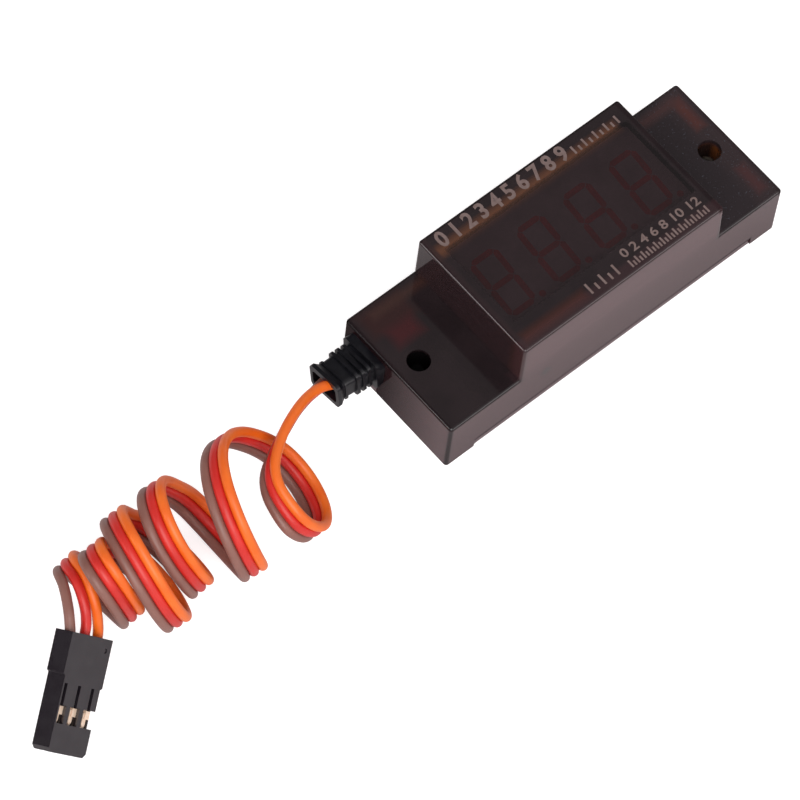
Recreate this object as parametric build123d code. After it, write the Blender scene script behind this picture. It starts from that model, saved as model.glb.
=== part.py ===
from build123d import *
from math import cos, radians, sin, tan
import os

# Ignition tachometer: a smoked snap-together case with a four-digit display, and a curled three-wire lead.
# Millimetres, +Z up. The origin is the middle of the case's underside, and the lead leaves towards -X.

# Case
body_length = 54.0
body_width = 19.6
ear_height = 8.9
block_height = 16.1
block_offset = 0.27  # the block stands a little nearer the plain end
lead_end_lean = 0.05  # draft of the block's two end walls, over their height
plain_end_lean = 0.42
wall = 1.0
roof = 1.0
corner_radius = 0.45
rim_radius = 0.4

# Screw tubes
hole_edge = 3.3  # from a hole's axis to the case's end
hole_diameter = 3.0
tube_wall = 0.85

# Base cover
cover_thickness = 1.4
cover_inset = 0.2  # of the strip that shows, from the case's sides
cover_fit = 0.1  # gap all round the cover
sill_ends = 4.3  # what the shell's corners leave of the long sides, where the cover doesn't reach out
sill_offset = 0.2
hook_spacing = 21.0
hook_width = 4.0
hook_thickness = 0.7
hook_height = 3.4
barb_reach = 0.4
barb_height = 0.8
tool_slot = (2.4, 0.5, 0.4)  # length, depth and height of the recess below each hook
post_diameter = 1.8
post_ends = 6.7  # from a post's axis to the board's end
post_edge = 1.3  # from a post's axis to the board's side

# Display
display_length = 29.3
display_width = 12.7
display_height = 7.2
display_shift_x = 0.15  # from the block's middle
display_y = 0.55
display_gap = 0.3  # under the block's roof
display_end_gap = 0.7
digit_count = 4
digit_pitch = 7.45
digit_width = 4.4
digit_height = 9.1
digit_shift_x = -0.43  # of the row of digits, from the middle of the display's face
digit_shift_y = -0.9
digit_slant = 4.5
bar_width = 0.8
bar_gap = 0.12
bar_depth = 0.3
point_diameter = 0.9
point_reach = 0.95  # of the decimal point, past its digit's side
display_edge = 0.3
pin_pitch = 2.54
pin_row_spacing = 10.16
pins_per_row = 6
pin_width = 0.5
pin_depth = 0.3
pin_stub = 1.0

# Circuit board
board_thickness = 1.0
board_ends = 3.8  # from a screw tube's axis to the board's end
board_fit = 0.4  # gap between the board and the long walls
board_corner = 0.6
pad_length = 1.8
pad_width = 2.2

# Parts under the board
chip_length = 9.9
chip_width = 3.9
chip_height = 1.5
chip_standoff = 0.15
chip_chamfer = 0.25
chip_notch = (0.6, 0.4)  # radius and depth of the mark at its first lead
chip_pitch = 1.27
chip_leads_per_side = 8
lead_thickness = 0.2
chip_lead = (1.05, 0.42)  # reach and width
small_lead = (0.6, 0.4)
regulator_size = (4.5, 2.5, 1.5)
regulator_chamfer = 0.3
regulator_foot = (0.45, 0.8, 0.4)
regulator_tab = (1.7, 0.8, 0.4)
regulator_foot_pitch = 1.5
transistor_size = (2.9, 1.3, 1.0)
transistor_standoff = 0.1
transistor_lead_pitch = 0.95
diode_size = (2.7, 1.6, 1.1)
diode_lead_width = 0.8
tantalum_size = (3.5, 2.8, 1.9)
tantalum_lead_width = 2.2
crystal_size = (3.2, 2.5, 0.8)
crystal_lid = (2.7, 2.0, 0.25)
resistor_size = (1.6, 0.8, 0.45)
ceramic_size = (1.6, 0.8, 0.8)
end_cap = 0.35
joint_radii = (0.8, 0.35)  # of a soldered leg, at the board and at its end
joint_height = 0.7
joint_sides = 8
wire_joint_radii = (0.75, 0.5)
wire_joint_cover = 0.1

# Where the parts under the board stand, across it
crystal_y = 0.6
load_capacitor_rows = (3.4, -2.2)
driver_rows = (-3.9, -0.9, 2.1)
input_resistor_rows = (-3.8, -2.2, -0.6, 1.0)
segment_resistor_edge = 1.4  # from the board's near side
segment_resistor_pitch = 1.7
segment_resistor_count = 8
tantalum_y = 0.6
last_driver_y = -4.4
bypass_y = 4.6
regulator_y = 3.2
output_capacitor_y = 0.2
diode_y = -3.6

# Strain relief, measured outwards from the end wall
relief_edge = 4.47  # from its axis to the case's far side
relief_z = 5.6
relief_twist = 11.0  # the pull of the lead turns the soft mouth by this much, in degrees
relief_rise = 0.9  # and lifts it by this much
relief_length = 6.9
neck_width = 4.4
neck_height = 3.4
inner_flange = (5.6, 4.4, 0.8)
relief_block = (6.2, 4.8, 1.15)
rib_width = 5.3
rib_height = 4.0
rib_thickness = 0.42
rib_pitch = 0.93
rib_count = 3
first_rib = 1.56
core_root = (5.0, 3.6)
core_tip = (4.6, 3.1)
lip_size = (5.3, 4.0)
lip_length = 0.5
flare_length = 0.7
collar_thickness = 0.3
collar_height = 0.35  # how much wider the collar is than the core
collar_gap = 0.15
relief_corner = 0.7
mouth_size = (4.3, 2.5)
mouth_depth = 1.4
mouth_corner = 0.5

# Three-wire lead
wire_diameter = 1.25
conductor_diameter = 0.7
wire_count = 3
wire_pad_pitch = 2.0
wire_pad_edge = 3.0  # from the board's end
bare_length = 1.7
exit_run = 4.3
exit_rise = (0.9, 1.8)  # of its two runs
exit_turn_y = -2.0  # sideways shift of the last run before the curl
wire_corner = 0.55  # of the flat bars that stand for the ribbon
curl_distance = 14.5  # from the case's end
curl_length = 34.0
curl_overlap = 1.0  # of the ribbon's runs, before they are trimmed
curl_start = (-1.7, 8.9)  # sideways place and radius of the curl where it starts
curl_end = (-0.6, 8.0)

# Plug
plug_length = 14.2
plug_width = 7.65
plug_nose_width = 6.95
plug_thickness = 2.6
plug_pitch = 2.54
plug_near_shoulder = 4.9
plug_far_shoulder = 5.8
shoulder_slope = 0.2
nose_bevel = 0.5
nose_wall = 1.0
rear_cavity = (4.6, 1.8)  # length and width, round the insulation
cavity_width = 1.45  # on towards the nose
cavity_height = 1.75
side_wall = 0.25  # least, beside the first window
pin_entry = 1.0
slot_width = 0.55
slot_start = 6.0
slot_shift = -0.4  # of the slots, across from their cavities' middles
window_start = 8.6
window_end = 10.75
window_width = 1.8
window_shift = -0.35
dimple_diameter = 0.6
dimple_depth = 0.12
dimple_place = (1.4, 2.85)
far_opening_depth = 0.3  # of the last window, down into its cavity's side
plug_distance = 2.7  # from the curl's end
plug_rear_y = -3.39
plug_along = Vector(-0.718, -0.548, -0.429)  # from the wires to the mating end, nose down on the floor
plug_across = Vector(0.621, -0.226, -0.751)

# Plug contacts
socket_length = 5.4
socket_width = 1.25
socket_height = 1.2
pin_size = 0.64
pin_clearance = 0.1
socket_end_wall = 0.4
strip_width = 0.8
strip_thickness = 0.25
insulation_crimp = (0.8, 2.4)
conductor_crimp = (3.6, 5.4)
insulation_overhang = 0.3
crimp_wall = 0.18
lance_width = 0.8
lance_length = 1.0
lance_start = 0.1
spring = (0.25, 0.6, 0.75)  # where the thin spring beside the lance starts, and its two sides
tongue_width = 0.66
tongue_length = 0.95
tongue_drop = 0.1
lance_shift = 0.17


def columns(side, sizes):
    # Places along the board for parts of these sizes, outwards from the microcontroller
    gap = (board_length / 2 - chip_length / 2 - sum(sizes)) / (len(sizes) + 1)
    edge = chip_length / 2
    places = []
    for size in sizes:
        places.append(display_x + side * (edge + gap + size / 2))
        edge += gap + size
    return places


# Worked out from the above
end_x = body_length / 2
side_y = body_width / 2
tube_radius = hole_diameter / 2 + tube_wall
barb_top = cover_thickness + hook_height
block_length = display_length + 2 * (display_end_gap + wall)  # at its foot, on the ears
lead_foot = block_offset - block_length / 2
plain_foot = block_offset + block_length / 2
hole_spacing = body_length - 2 * hole_edge
sill_length = body_length - 2 * sill_ends
display_top = block_height - roof - display_gap
board_top = display_top - display_height
board_under = board_top - board_thickness
board_length = hole_spacing - 2 * board_ends
board_width = body_width - 2 * wall - 2 * board_fit
post_spacing = board_length - 2 * post_ends
post_row_spacing = board_width - 2 * post_edge
display_x = block_offset + display_shift_x
relief_y = side_y - relief_edge
wire_pad_x = display_x - board_length / 2 + wire_pad_edge
curl_start_x = -end_x - curl_distance
curl_end_x = curl_start_x - curl_length
plug_rear_x = curl_end_x - plug_distance
ribbon_width = wire_count * wire_diameter
hook_y = side_y - wall - cover_fit  # outer face of the cover's hooks
down = Vector(0, 0, -1)

# Columns of the parts under the board, spread evenly between the microcontroller and the board's ends
tantalum_reach = tantalum_size[0] + 2 * small_lead[0]
lead_side_sizes = (crystal_size[0], transistor_size[0], resistor_size[0])
plain_side_sizes = (tantalum_reach, regulator_size[0])
crystal_x, driver_x, input_x = columns(-1, lead_side_sizes)
tantalum_x, regulator_x = columns(1, plain_side_sizes)
segment_resistor_x = display_x - (segment_resistor_count - 1) / 2 * segment_resistor_pitch
regulator_place = (regulator_x, regulator_y)
diode_place = (regulator_x, diode_y)
tantalum_place = (tantalum_x, tantalum_y)
crystal_place = (crystal_x, crystal_y)
transistor_places = [(driver_x, y) for y in driver_rows] + [(tantalum_x, last_driver_y)]
resistor_places = [(input_x, y) for y in input_resistor_rows] + [
    (segment_resistor_x + i * segment_resistor_pitch, segment_resistor_edge - board_width / 2)
    for i in range(segment_resistor_count)
]
ceramic_places = [(crystal_x, y) for y in load_capacitor_rows]
ceramic_places += [(tantalum_x, bypass_y), (regulator_x, output_capacitor_y)]


def side_profile(side, top):
    # The case seen from its long side, drawn in by side at its end walls and by top at its roofs
    return Polyline(
        (side - end_x, 0),
        (side - end_x, ear_height - top),
        (lead_foot + side, ear_height - top),
        (lead_foot + lead_end_lean + side, block_height - top),
        (plain_foot - plain_end_lean - side, block_height - top),
        (plain_foot - side, ear_height - top),
        (end_x - side, ear_height - top),
        (end_x - side, 0),
        close=True,
    )


def rim_edges(body):
    # Every edge above the ears' level, apart from the two inner corners where the block stands on them
    def foot_corner(edge):
        return abs(edge.center().Z - ear_height) < 0.01 and min(
            abs(edge.center().X - foot) for foot in (lead_foot, plain_foot)
        ) < 0.01

    raised = [e for e in body.edges() if e.vertices().sort_by(Axis.Z)[0].Z > ear_height - 0.01]
    return [e for e in raised if not foot_corner(e)]


def corner_edges(body):
    def outermost(edge):
        return abs(abs(edge.center().X) - end_x) < 0.01 and abs(abs(edge.center().Y) - side_y) < 0.01

    return [e for e in body.edges().filter_by(Axis.Z) if outermost(e)]


def hook_places():
    return [(x, side) for x in (-hook_spacing / 2, hook_spacing / 2) for side in (-1, 1)]


def sill(fit, inset, height):
    # The stretch where the cover shows in the long sides
    length = sill_length - 2 * fit
    return Pos(sill_offset, 0, height / 2) * Box(length, body_width - 2 * inset, height)


def latch_pockets():
    # Shallow recesses inside the long walls, which the cover's barbs spring into
    y = side_y - wall + barb_reach / 2
    z = barb_top - barb_height / 2
    return [Pos(x, side * y, z) * Box(hook_width, barb_reach, barb_height) for x, side in hook_places()]


def relief_slot():
    # Slot in the end wall, open at its foot, so that the strain relief goes in before the cover
    top = relief_z + neck_height / 2
    return Pos(-end_x + wall / 2, relief_y, top / 2) * Box(3 * wall, neck_width, top)


def housing_shell():
    body = extrude(Plane.XZ * make_face(side_profile(0, 0)), amount=side_y, both=True)
    body = fillet(corner_edges(body), corner_radius)
    body = fillet(rim_edges(body), rim_radius)
    room = extrude(Plane.XZ * make_face(side_profile(wall, roof)), amount=side_y - wall, both=True)
    shell = body - room
    # Four pads under the ears' roofs hold the board down on the cover's posts
    pad_height = ear_height - roof - board_top
    pad_x = board_length / 2 - pad_length / 2
    for x in (display_x - pad_x, display_x + pad_x):
        for y in (-post_row_spacing / 2, post_row_spacing / 2):
            shell += Pos(x, y, board_top + pad_height / 2) * Box(pad_length, pad_width, pad_height)
    shell -= sill(0, 0, cover_thickness)
    shell -= relief_slot()
    shell -= latch_pockets()
    # The screw tubes pass through the cover, so that a screw clamps the shell itself
    tube_length = ear_height - roof
    for x in (-hole_spacing / 2, hole_spacing / 2):
        shell += Pos(x, 0, tube_length / 2) * Cylinder(tube_radius, tube_length)
        shell -= Pos(x, 0, ear_height / 2) * Cylinder(hole_diameter / 2, 2 * ear_height)
    return shell


def base_cover():
    inner_length = body_length - 2 * wall - 2 * cover_fit
    inner_width = body_width - 2 * wall - 2 * cover_fit
    plate = Pos(0, 0, cover_thickness / 2) * Box(inner_length, inner_width, cover_thickness)
    cover = plate + sill(cover_fit, cover_inset, cover_thickness)
    slot_length, slot_depth, slot_height = tool_slot
    slot_y = side_y - slot_depth / 2
    slot_z = cover_thickness - slot_height / 2
    for x, side in hook_places():
        # A springy hook with a barb, and the tool slot below the barb in the strip's upper edge
        middle = Pos(x, side * (hook_y - hook_thickness / 2), cover_thickness + hook_height / 2)
        cover += middle * Box(hook_width, hook_thickness, hook_height)
        barb = Polyline(
            (0, barb_top - barb_height),
            (barb_reach, barb_top - barb_height),
            (barb_reach, barb_top - barb_height / 2),
            (0, barb_top),
            close=True,
        )
        face = Plane(origin=(x, side * hook_y, 0), x_dir=(0, side, 0), z_dir=(side, 0, 0))
        cover += extrude(face * make_face(barb), amount=hook_width / 2, both=True)
        cover -= Pos(x, side * slot_y, slot_z) * Box(slot_length, slot_depth, slot_height)
    for x in (-post_spacing / 2, post_spacing / 2):
        for y in (-post_row_spacing / 2, post_row_spacing / 2):
            height = board_under - cover_thickness
            cover += Pos(x, y, cover_thickness + height / 2) * Cylinder(post_diameter / 2, height)
    # A tongue closes the end wall's slot below the strain relief, and its root passes below the inner flange
    tongue_top = relief_z - neck_height / 2
    tongue_width = neck_width - 2 * cover_fit
    cover += Pos(-end_x + wall / 2, relief_y, tongue_top / 2) * Box(wall, tongue_width, tongue_top)
    root_top = relief_z - inner_flange[1] / 2
    root = Pos(-end_x + wall + cover_fit / 2, relief_y, root_top / 2)
    cover += root * Box(cover_fit, tongue_width, root_top)
    for x in (-hole_spacing / 2, hole_spacing / 2):
        cover -= Pos(x, 0, 0) * Cylinder(tube_radius + cover_fit, 4 * cover_thickness)
    return cover


def pin_places():
    first = -(pins_per_row - 1) / 2
    return [
        (display_x + (first + i) * pin_pitch, display_y + side * pin_row_spacing / 2)
        for i in range(pins_per_row)
        for side in (-1, 1)
    ]


def circuit_board():
    outline = RectangleRounded(board_length, board_width, board_corner)
    board = Pos(display_x, 0, board_under) * extrude(outline, amount=board_thickness)
    # Solder fills the rest of each plated hole, so the board's holes are the legs' own size
    return board - display_pins()


def bar_outline(x, y, half, upright):
    # A six-sided bar, leaning with its digit
    tip = bar_width / 2
    shoulder = half - tip
    flat = [(-half, 0), (-shoulder, tip), (shoulder, tip), (half, 0), (shoulder, -tip), (-shoulder, -tip)]
    turned = [(-v, u) for u, v in flat] if upright else flat
    lean = tan(radians(digit_slant))
    return Polyline(*[(x + u + (y + v) * lean, y + v) for u, v in turned], close=True)


def digit_bars():
    across = (digit_width - bar_width) / 2
    upper = (digit_height - bar_width) / 2
    flat_half = across - bar_gap / 2
    upright_half = upper / 2 - bar_gap / 2
    flats = [bar_outline(0, y, flat_half, False) for y in (-upper, 0, upper)]
    uprights = [
        bar_outline(x, y, upright_half, True) for x in (-across, across) for y in (-upper / 2, upper / 2)
    ]
    return [make_face(outline) for outline in flats + uprights]


def display_marks():
    # Every bar and decimal point, as thin solids that lie flush in the display's face
    marks = []
    for i in range(digit_count):
        x = display_x + digit_shift_x + (i - (digit_count - 1) / 2) * digit_pitch
        y = display_y + digit_shift_y
        place = Pos(x, y, display_top - bar_depth)
        marks += [place * extrude(bar, amount=bar_depth) for bar in digit_bars()]
        point_x = (digit_width - bar_width) / 2 + point_reach
        point = Pos(point_x, (bar_width - digit_height) / 2, bar_depth / 2)
        marks.append(place * point * Cylinder(point_diameter / 2, bar_depth))
    return marks


def display_case(marks):
    middle = Pos(display_x, display_y, board_top + display_height / 2)
    case = middle * Box(display_length, display_width, display_height)
    case = chamfer(case.edges().filter_by(Axis.Z), display_edge)
    return case - marks


def display_pins():
    length = board_thickness + pin_stub
    return [Pos(x, y, board_top - length / 2) * Box(pin_width, pin_depth, length) for x, y in pin_places()]


def board_box(x, y, size, standoff=0.0):
    # A part's block on the board's underside
    length, width, height = size
    return Pos(x, y, board_under - standoff - height / 2) * Box(length, width, height)


def bent_lead(x, y, out, size, drop):
    # A flat lead seen end on: level out of its chip, straight down to the board, then a flat foot
    reach, width = size
    knee = reach * 0.4
    outline = Polyline(
        (0, drop),
        (knee + lead_thickness, drop),
        (knee + lead_thickness, lead_thickness),
        (reach, lead_thickness),
        (reach, 0),
        (knee, 0),
        (knee, drop - lead_thickness),
        (0, drop - lead_thickness),
        close=True,
    )
    plane = Plane(origin=(x, y, board_under), x_dir=out, z_dir=Vector(*out).cross(down))
    return extrude(plane * make_face(outline), amount=width / 2, both=True)


def microcontroller():
    body = board_box(display_x, display_y, (chip_length, chip_width, chip_height), chip_standoff)
    body = chamfer(body.edges().filter_by(Axis.X), chip_chamfer)
    notch = Pos(display_x - chip_length / 2, display_y, board_under - chip_standoff - chip_height)
    return body - notch * Cylinder(*chip_notch)


def microcontroller_leads():
    first = -(chip_leads_per_side - 1) / 2
    drop = chip_standoff + (chip_height + lead_thickness) / 2
    leads = []
    for i in range(chip_leads_per_side):
        x = display_x + (first + i) * chip_pitch
        for side in (-1, 1):
            leads.append(bent_lead(x, display_y + side * chip_width / 2, (0, side, 0), chip_lead, drop))
    return leads


def voltage_regulator():
    body = board_box(*regulator_place, regulator_size)
    return chamfer(body.edges().filter_by(Axis.Y).sort_by(Axis.Z)[:2], regulator_chamfer)


def regulator_leads():
    x, y = regulator_place
    side = regulator_size[1] / 2
    feet_y = y - side - regulator_foot[1] / 2
    feet = [board_box(x + i * regulator_foot_pitch, feet_y, regulator_foot) for i in (-1, 0, 1)]
    return feet + [board_box(x, y + side + regulator_tab[1] / 2, regulator_tab)]


def digit_transistors():
    return [board_box(x, y, transistor_size, transistor_standoff) for x, y in transistor_places]


def transistor_leads():
    side = transistor_size[1] / 2
    drop = transistor_standoff + (transistor_size[2] + lead_thickness) / 2
    leads = []
    for x, y in transistor_places:
        leads.append(bent_lead(x, y + side, (0, 1, 0), small_lead, drop))
        for shift in (-transistor_lead_pitch, transistor_lead_pitch):
            leads.append(bent_lead(x + shift, y - side, (0, -1, 0), small_lead, drop))
    return leads


def end_leads(place, size, width):
    # The two flat leads at the ends of a diode or a tantalum block
    drop = (size[2] + lead_thickness) / 2
    lead = (small_lead[0], width)
    return [bent_lead(place[0] + side * size[0] / 2, place[1], (side, 0, 0), lead, drop) for side in (-1, 1)]


def crystal():
    base = board_box(*crystal_place, crystal_size)
    return base + board_box(*crystal_place, crystal_lid, crystal_size[2])


def chip_bodies(places, size):
    return [board_box(x, y, (size[0] - 2 * end_cap, size[1], size[2])) for x, y in places]


def chip_end_caps():
    caps = []
    for places, size in ((resistor_places, resistor_size), (ceramic_places, ceramic_size)):
        shift = (size[0] - end_cap) / 2
        caps += [
            board_box(x + side * shift, y, (end_cap, size[1], size[2])) for x, y in places for side in (-1, 1)
        ]
    return caps


def wire_offsets():
    # Orange, red and brown, from the near side to the far side
    return [i - (wire_count - 1) / 2 for i in range(wire_count)]


def wire_run(offset):
    # A wire from the strain relief's inner flange to its pad under the board
    start_x = -end_x + wall + inner_flange[2]
    wire_z = board_under - wire_diameter / 2
    pad_y = relief_y + offset * wire_pad_pitch
    tail_x = wire_pad_x - bare_length / 2
    start_y = relief_y + offset * wire_diameter
    bend_x = (start_x + tail_x) / 2
    points = [(start_x, start_y, relief_z), (bend_x, start_y, relief_z), (tail_x, pad_y, wire_z)]
    path = smooth_path("wire end", points)
    section = Plane(origin=points[0], z_dir=path % 0) * Circle(wire_diameter / 2)
    bare = Pos(wire_pad_x, pad_y, wire_z) * Rot(0, 90, 0) * Cylinder(conductor_diameter / 2, bare_length)
    return sweep(section, path) + bare


def smooth_path(name, points):
    # Straight runs joined by tangent arcs, each as large as the shorter of its two runs allows
    spots = [Vector(*p) for p in points]
    radii = []
    for before, spot, after in zip(spots, spots[1:], spots[2:]):
        turn = (spot - before).get_angle(after - spot)
        radii.append(0.45 * min((spot - before).length, (after - spot).length) / tan(radians(turn) / 2))
    print("arc radii,", name, [round(r, 1) for r in radii])
    return FilletPolyline(*spots, radius=radii)


def solder_joints():
    joints = [solder_cone(x, y, joint_radii, joint_height) for x, y in pin_places()]
    joints = [joint - pin for joint, pin in zip(joints, display_pins())]
    for offset in wire_offsets():
        y = relief_y + offset * wire_pad_pitch
        height = (wire_diameter + conductor_diameter) / 2 + wire_joint_cover
        bare = Pos(wire_pad_x, y, board_under - wire_diameter / 2) * Rot(0, 90, 0)
        bare *= Cylinder(conductor_diameter / 2, 2 * bare_length)
        joints.append(solder_cone(wire_pad_x, y, wire_joint_radii, height) - bare)
    return joints


def solder_cone(x, y, radii, height):
    # An eight-sided cone under the board, narrower at its lower end
    foot, end = radii
    return loft(
        [
            Pos(x, y, board_under) * RegularPolygon(foot, joint_sides),
            Pos(x, y, board_under - height) * RegularPolygon(end, joint_sides),
        ]
    )


def relief_plane(distance):
    # Section plane of the strain relief, turned and lifted by the pull of the lead
    share = distance / relief_length
    angle = radians(relief_twist) * min(1.0, distance / first_rib)
    origin = (-end_x - distance, relief_y, relief_z + relief_rise * share)
    return Plane(origin=origin, x_dir=(0, -cos(angle), sin(angle)), z_dir=(-1, 0, 0))


def relief_section(distance, size):
    return relief_plane(distance) * RectangleRounded(size[0], size[1], relief_corner)


def relief_slab(distance, size, thickness):
    return extrude(relief_section(distance, size), amount=thickness)


def strain_relief():
    mouth = relief_length - lip_length - flare_length
    core = loft([relief_section(0, core_root), relief_section(mouth, core_tip)])
    flare = loft([relief_section(mouth, core_tip), relief_section(mouth + flare_length, lip_size)])
    block = loft([relief_section(0, relief_block[:2]), relief_section(relief_block[2], relief_block[:2])])
    relief = core + flare + block + relief_slab(mouth + flare_length, lip_size, lip_length)
    for i in range(rib_count):
        relief += relief_slab(first_rib + i * rib_pitch, (rib_width, rib_height), rib_thickness)
    collar = (core_tip[0] + collar_height, core_tip[1] + collar_height)
    relief += relief_slab(mouth - collar_thickness - collar_gap, collar, collar_thickness)
    neck = Pos(-end_x + wall / 2, relief_y, relief_z) * Box(wall, neck_width, neck_height)
    width, height, thickness = inner_flange
    flange = Pos(-end_x + wall + thickness / 2, relief_y, relief_z) * Box(thickness, width, height)
    relief += neck + flange
    pocket = relief_plane(relief_length - mouth_depth) * RectangleRounded(*mouth_size, mouth_corner)
    return relief - extrude(pocket, amount=2 * mouth_depth)


def lead_exit():
    # Flat ribbon from the floor of the mouth to the start of the curl
    start = relief_plane(relief_length - mouth_depth)
    first = start.origin
    second = first + Vector(-exit_run, 0, exit_rise[0])
    third = Vector(curl_start_x - curl_overlap, second.Y + exit_turn_y, second.Z + exit_rise[1])
    path = smooth_path("lead exit", [first, second, third])
    ribbon = sweep(start * RectangleRounded(ribbon_width, wire_diameter, wire_corner), path)
    return split(ribbon, Plane(origin=(curl_start_x, 0, 0), z_dir=(1, 0, 0)), keep=Keep.TOP)


def lead_curl():
    # The lead's turns, as one plain body that lies on the floor
    sections = [
        Plane(origin=(x, y, radius), z_dir=(-1, 0, 0)) * Circle(radius)
        for x, (y, radius) in ((curl_start_x, curl_start), (curl_end_x, curl_end))
    ]
    return loft(sections)


def plug_plane():
    # Its lowest corner is on the floor, so the height of its wire end follows from its sizes and its slant
    normal = plug_along.cross(plug_across)
    width_drop = plug_across.Z * plug_nose_width / 2
    z = -(plug_length - nose_bevel) * plug_along.Z - width_drop + normal.Z * plug_thickness / 2
    return Plane(origin=(plug_rear_x, plug_rear_y, z), x_dir=plug_along, z_dir=normal)


def lead_tail():
    # The last run, in which the ribbon fans out to the plug's three cavities
    plane = plug_plane()
    start = Plane(origin=plane.origin, x_dir=plug_across, z_dir=-plug_along)
    run = (curl_end_x - plane.origin.X) / -plug_along.X
    fan_width = (wire_count - 1) * plug_pitch + wire_diameter
    fan = loft(
        [
            start * RectangleRounded(fan_width, wire_diameter, wire_corner),
            start.offset(run + 2 * curl_overlap) * RectangleRounded(ribbon_width, wire_diameter, wire_corner),
        ]
    )
    return split(fan, Plane(origin=(curl_end_x, 0, 0), z_dir=(-1, 0, 0)), keep=Keep.TOP)


def plug_rows():
    return [(i - (wire_count - 1) / 2) * plug_pitch for i in range(wire_count)]


def plug_box(x0, x1, y0, y1, z0, z1):
    return Pos((x0 + x1) / 2, (y0 + y1) / 2, (z0 + z1) / 2) * Box(x1 - x0, y1 - y0, z1 - z0)


def plug_housing():
    rear, nose = plug_width / 2, plug_nose_width / 2
    outline = Polyline(
        (0, -rear),
        (plug_near_shoulder, -rear),
        (plug_near_shoulder + shoulder_slope, -nose),
        (plug_length - nose_bevel, -nose),
        (plug_length, nose_bevel - nose),
        (plug_length, nose - nose_bevel),
        (plug_length - nose_bevel, nose),
        (plug_far_shoulder + shoulder_slope, nose),
        (plug_far_shoulder, rear),
        (0, rear),
        close=True,
    )
    top = plug_thickness / 2
    housing = extrude(make_face(outline), amount=top, both=True)
    half_height = cavity_height / 2
    top_openings = (
        (slot_start, window_start, slot_width, slot_shift),
        (window_start, window_end, window_width, window_shift),
    )
    for y in plug_rows():
        for end, width in (rear_cavity, (plug_length - nose_wall, cavity_width)):
            housing -= plug_box(-1, end, y - width / 2, y + width / 2, -half_height, half_height)
        housing -= Pos(plug_length, y, 0) * Box(4 * nose_wall, pin_entry, pin_entry)
        for start, end, width, shift in top_openings:
            near_edge = max(y + shift - width / 2, side_wall - nose)
            housing -= plug_box(start, end, near_edge, y + shift + width / 2, 0, top + 1)
    # The last window runs out through the far side
    opening = half_height - far_opening_depth
    housing -= plug_box(window_start, window_end, plug_rows()[-1], nose + 1, opening, top + 1)
    dimple = Pos(*dimple_place, top) * Cylinder(dimple_diameter / 2, 2 * dimple_depth)
    return plug_plane() * (housing - dimple)


def barrel(y, crimp, bore):
    # A crimped tube round the wire or its bare end
    length = crimp[1] - crimp[0]
    place = Pos((crimp[0] + crimp[1]) / 2, y, wire_z_in_plug()) * Rot(0, 90, 0)
    return place * (Cylinder(bore + crimp_wall, length) - Cylinder(bore, 2 * length))


def wire_z_in_plug():
    return strip_thickness + wire_diameter / 2 - cavity_height / 2


def plug_contact(y):
    floor = -cavity_height / 2
    socket_end = plug_length - nose_wall
    socket_start = socket_end - socket_length
    socket_top = floor + socket_height
    half = socket_width / 2
    contact = plug_box(socket_start, socket_end, y - half, y + half, floor, socket_top)
    hole = pin_size + pin_clearance
    hole_depth = socket_length - socket_end_wall
    contact -= Pos(socket_end, y, (floor + socket_top) / 2) * Box(2 * hole_depth, hole, hole)
    strip = strip_width / 2
    strip_top = floor + strip_thickness
    contact += plug_box(insulation_crimp[0], socket_start, y - strip, y + strip, floor, strip_top)
    contact += barrel(y, insulation_crimp, wire_diameter / 2)
    contact += barrel(y, conductor_crimp, conductor_diameter / 2)
    saddle = wire_z_in_plug() - conductor_diameter / 2
    contact += plug_box(*conductor_crimp, y - strip / 2, y + strip / 2, floor, saddle)
    # The locking lance stands up in the window, with the tongue that bears on the pin in front of it
    lance_top = cavity_height / 2
    x0 = window_start + lance_start
    x1 = x0 + lance_length
    centre = y + lance_shift
    contact += plug_box(x0, x1, centre - lance_width / 2, centre + lance_width / 2, socket_top, lance_top)
    contact += plug_box(x0 + spring[0], x1, centre - spring[2], centre - spring[1], socket_top, lance_top)
    centre = y - lance_shift
    tongue = tongue_width / 2
    straight = tongue_length - tongue
    tongue_top = lance_top - tongue_drop
    contact += plug_box(x1, x1 + straight, centre - tongue, centre + tongue, socket_top, tongue_top)
    height = tongue_top - socket_top
    contact += Pos(x1 + straight, centre, socket_top + height / 2) * Cylinder(tongue, height)
    return plug_plane() * contact


def plug_wire_ends():
    # Each wire's last stretch, gripped by its contact: insulated first, then bare
    ends = []
    for y in plug_rows():
        place = Pos(0, y, wire_z_in_plug()) * Rot(0, 90, 0)
        cover = insulation_crimp[1] + insulation_overhang
        insulated = place * Pos(0, 0, cover / 2) * Cylinder(wire_diameter / 2, cover)
        bare_end = conductor_crimp[1] - cover
        bare = place * Pos(0, 0, cover + bare_end / 2) * Cylinder(conductor_diameter / 2, bare_end)
        ends.append(plug_plane() * (insulated + bare))
    return ends


def keep(name, shape):
    solids = [s for item in (shape if isinstance(shape, list) else [shape]) for s in item.solids()]
    export_step(solids[0] if len(solids) == 1 else Compound(children=solids), f"parts/{name}.step")


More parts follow.
